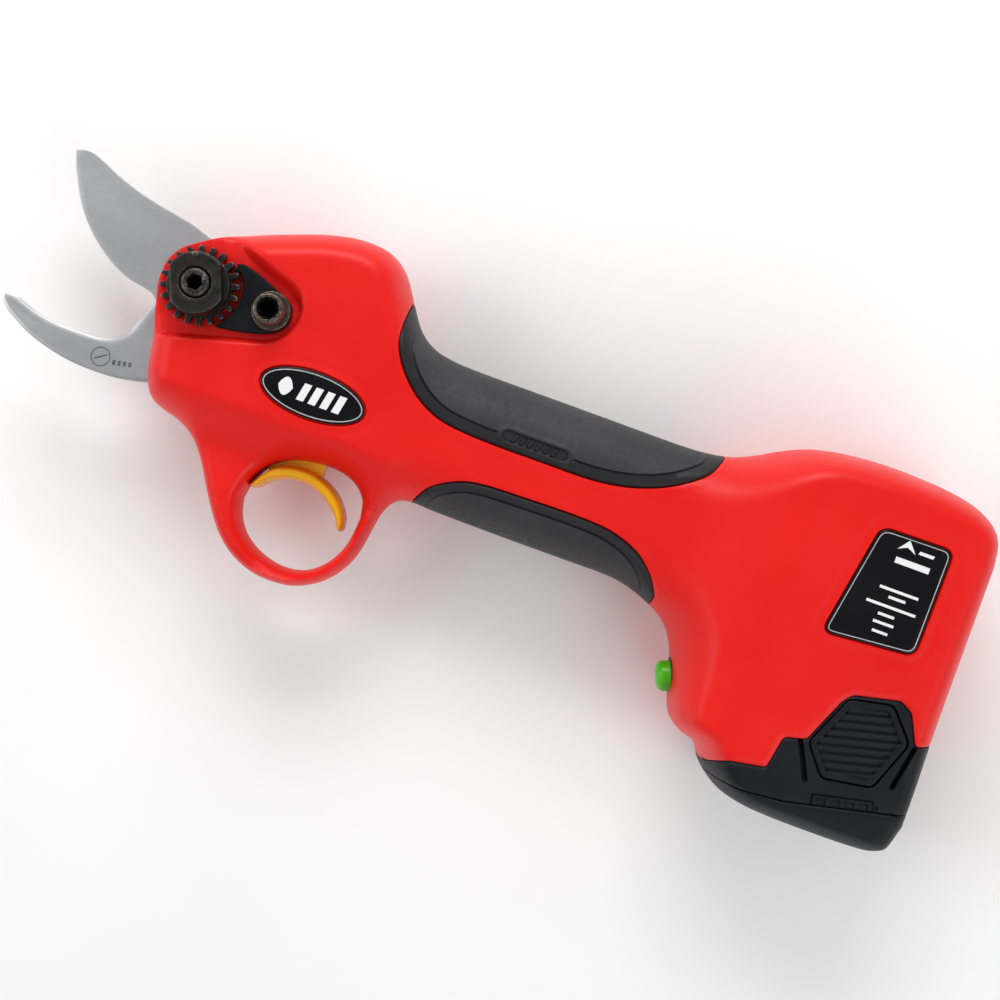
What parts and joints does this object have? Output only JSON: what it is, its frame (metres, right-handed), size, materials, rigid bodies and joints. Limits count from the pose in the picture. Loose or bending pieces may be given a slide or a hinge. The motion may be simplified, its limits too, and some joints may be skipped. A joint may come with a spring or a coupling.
{
  "type": "electric pruner",
  "caption": "Cordless electric pruner with curved bypass blades, a finger-ring trigger, a rubber-gripped handle and a slide-out battery.",
  "frame": {"origin": "middle of the bounding box at its underside, where the tool lies on its right side", "axes": "+X along the handle from the blades to the battery, +Y toward the top of the tool as it is held, +Z toward its left side, which carries the adjusting nut"},
  "size_m": [0.287, 0.1136, 0.052],
  "materials": {
    "red_shell": "satin moulded plastic, bright red",
    "grip_rubber": "matt charcoal rubber",
    "label_black": "gloss black label",
    "blade_steel": "ground steel",
    "black_oxide": "black oxide steel, worn",
    "bright_steel": "plain steel",
    "amber_plastic": "amber moulded plastic",
    "green_plastic": "green moulded plastic",
    "battery_black": "blue-black matt plastic",
    "dark_plastic": "black plastic",
    "brass": "machined brass",
    "board_green": "circuit board",
    "cell_wrap": "shrink wrap over a steel can",
    "wire_red": "silicone insulation",
    "wire_black": "silicone insulation",
    "magnet": "nickel plate"
  },
  "bodies": {
    "shell": {"housing_left": "red_shell", "housing_right": "red_shell", "grip_upper_left": "grip_rubber", "grip_upper_right": "grip_rubber", "grip_lower_left": "grip_rubber", "grip_lower_right": "grip_rubber", "badge_left": "label_black", "badge_right": "label_black", "rating_plate": "label_black", "housing_screw_1": "black_oxide", "housing_screw_2": "black_oxide", "housing_screw_3": "black_oxide", "housing_screw_4": "black_oxide", "housing_screw_5": "black_oxide", "housing_screw_6": "black_oxide", "housing_screw_7": "black_oxide", "pivot_bolt": "black_oxide", "adjusting_nut": "black_oxide", "lock_plate": "black_oxide", "lock_screw": "black_oxide", "lock_washer": "black_oxide", "fixed_blade": "blade_steel", "pivot_bush": "bright_steel", "blade_dowel_1": "bright_steel", "blade_dowel_2": "bright_steel", "screw_bearing": "bright_steel", "gearbox_case": "bright_steel", "motor_can": "bright_steel", "trigger_pin": "bright_steel", "trigger_spring": "bright_steel", "thrust_washer": "brass", "sensor_board": "board_green", "control_board": "board_green", "button_bezel": "dark_plastic", "switch_body": "dark_plastic", "capacitor": "dark_plastic", "terminal_block": "dark_plastic", "wire_motor_red": "wire_red", "wire_motor_black": "wire_black", "wire_sensor": "wire_black"},
    "blade": {"moving_blade": "blade_steel", "drive_pin": "bright_steel"},
    "carriage": {"yoke_nut": "brass"},
    "screw": {"lead_screw": "bright_steel"},
    "rotor": {"motor_rotor": "bright_steel"},
    "planet_1": {"planet_gear_1": "bright_steel"},
    "planet_2": {"planet_gear_2": "bright_steel"},
    "planet_3": {"planet_gear_3": "bright_steel"},
    "trigger_lever": {"trigger": "amber_plastic", "trigger_magnet": "magnet"},
    "button": {"power_button": "green_plastic"},
    "battery": {"battery_case": "battery_black", "battery_base": "battery_black", "battery_cell_1": "cell_wrap", "battery_cell_2": "cell_wrap", "battery_cell_3": "cell_wrap", "battery_cell_4": "cell_wrap"},
    "tab_left": {"battery_tab_left": "battery_black"},
    "tab_right": {"battery_tab_right": "battery_black"}
  },
  "joints": [
    {"name": "blade_pivot", "type": "hinge", "parent": "shell", "child": "blade", "pos_m": [-0.0897, 0.02817, 0.026], "axis": [0, 0, 1], "range_deg": [0, 48]},
    {"name": "nut_slide", "type": "slide", "parent": "shell", "child": "carriage", "axis": [1, 0, 0], "range_m": [0, 0.0122]},
    {"name": "screw_spin", "type": "hinge", "parent": "shell", "child": "screw", "pos_m": [-0.0497, 0.01227, 0.026], "axis": [1, 0, 0], "continuous": true},
    {"name": "rotor_spin", "type": "hinge", "parent": "shell", "child": "rotor", "pos_m": [0.0193, 0.01227, 0.026], "axis": [1, 0, 0], "continuous": true},
    {"name": "planet_1_spin", "type": "hinge", "parent": "screw", "child": "planet_1", "pos_m": [-0.0237, 0.01227, 0.0332], "axis": [1, 0, 0], "continuous": true},
    {"name": "planet_2_spin", "type": "hinge", "parent": "screw", "child": "planet_2", "pos_m": [-0.0237, 0.00603, 0.0224], "axis": [1, 0, 0], "continuous": true},
    {"name": "planet_3_spin", "type": "hinge", "parent": "screw", "child": "planet_3", "pos_m": [-0.0237, 0.0185, 0.0224], "axis": [1, 0, 0], "continuous": true},
    {"name": "trigger_pivot", "type": "hinge", "parent": "shell", "child": "trigger_lever", "pos_m": [-0.0557, -0.00333, 0.026], "axis": [0, 0, 1], "range_deg": [0, 6], "stiffness_Nm_per_rad": 0.8, "springref_deg": -2.86},
    {"name": "power_button_press", "type": "slide", "parent": "shell", "child": "button", "axis": [0.9375, 0.348, 0], "range_m": [0, 0.0012], "stiffness_N_per_m": 900, "springref_m": -0.0005},
    {"name": "battery_slide", "type": "slide", "parent": "shell", "child": "battery", "axis": [0.1736, -0.9848, 0], "range_m": [0, 0.075]},
    {"name": "battery_tab_left_press", "type": "slide", "parent": "battery", "child": "tab_left", "axis": [0, 0, -1], "range_m": [0, 0.0014], "stiffness_N_per_m": 1500, "springref_m": -0.0005},
    {"name": "battery_tab_right_press", "type": "slide", "parent": "battery", "child": "tab_right", "axis": [0, 0, 1], "range_m": [0, 0.0014], "stiffness_N_per_m": 1500, "springref_m": -0.0005}
  ],
  "couplings": [
    {"joint": "nut_slide", "follows": "blade_pivot", "m_per_rad": 0.01407},
    {"joint": "screw_spin", "follows": "blade_pivot", "ratio": 14.734},
    {"joint": "rotor_spin", "follows": "blade_pivot", "ratio": 66.303},
    {"joint": "planet_1_spin", "follows": "blade_pivot", "ratio": -41.255},
    {"joint": "planet_2_spin", "follows": "blade_pivot", "ratio": -41.255},
    {"joint": "planet_3_spin", "follows": "blade_pivot", "ratio": -41.255}
  ]
}
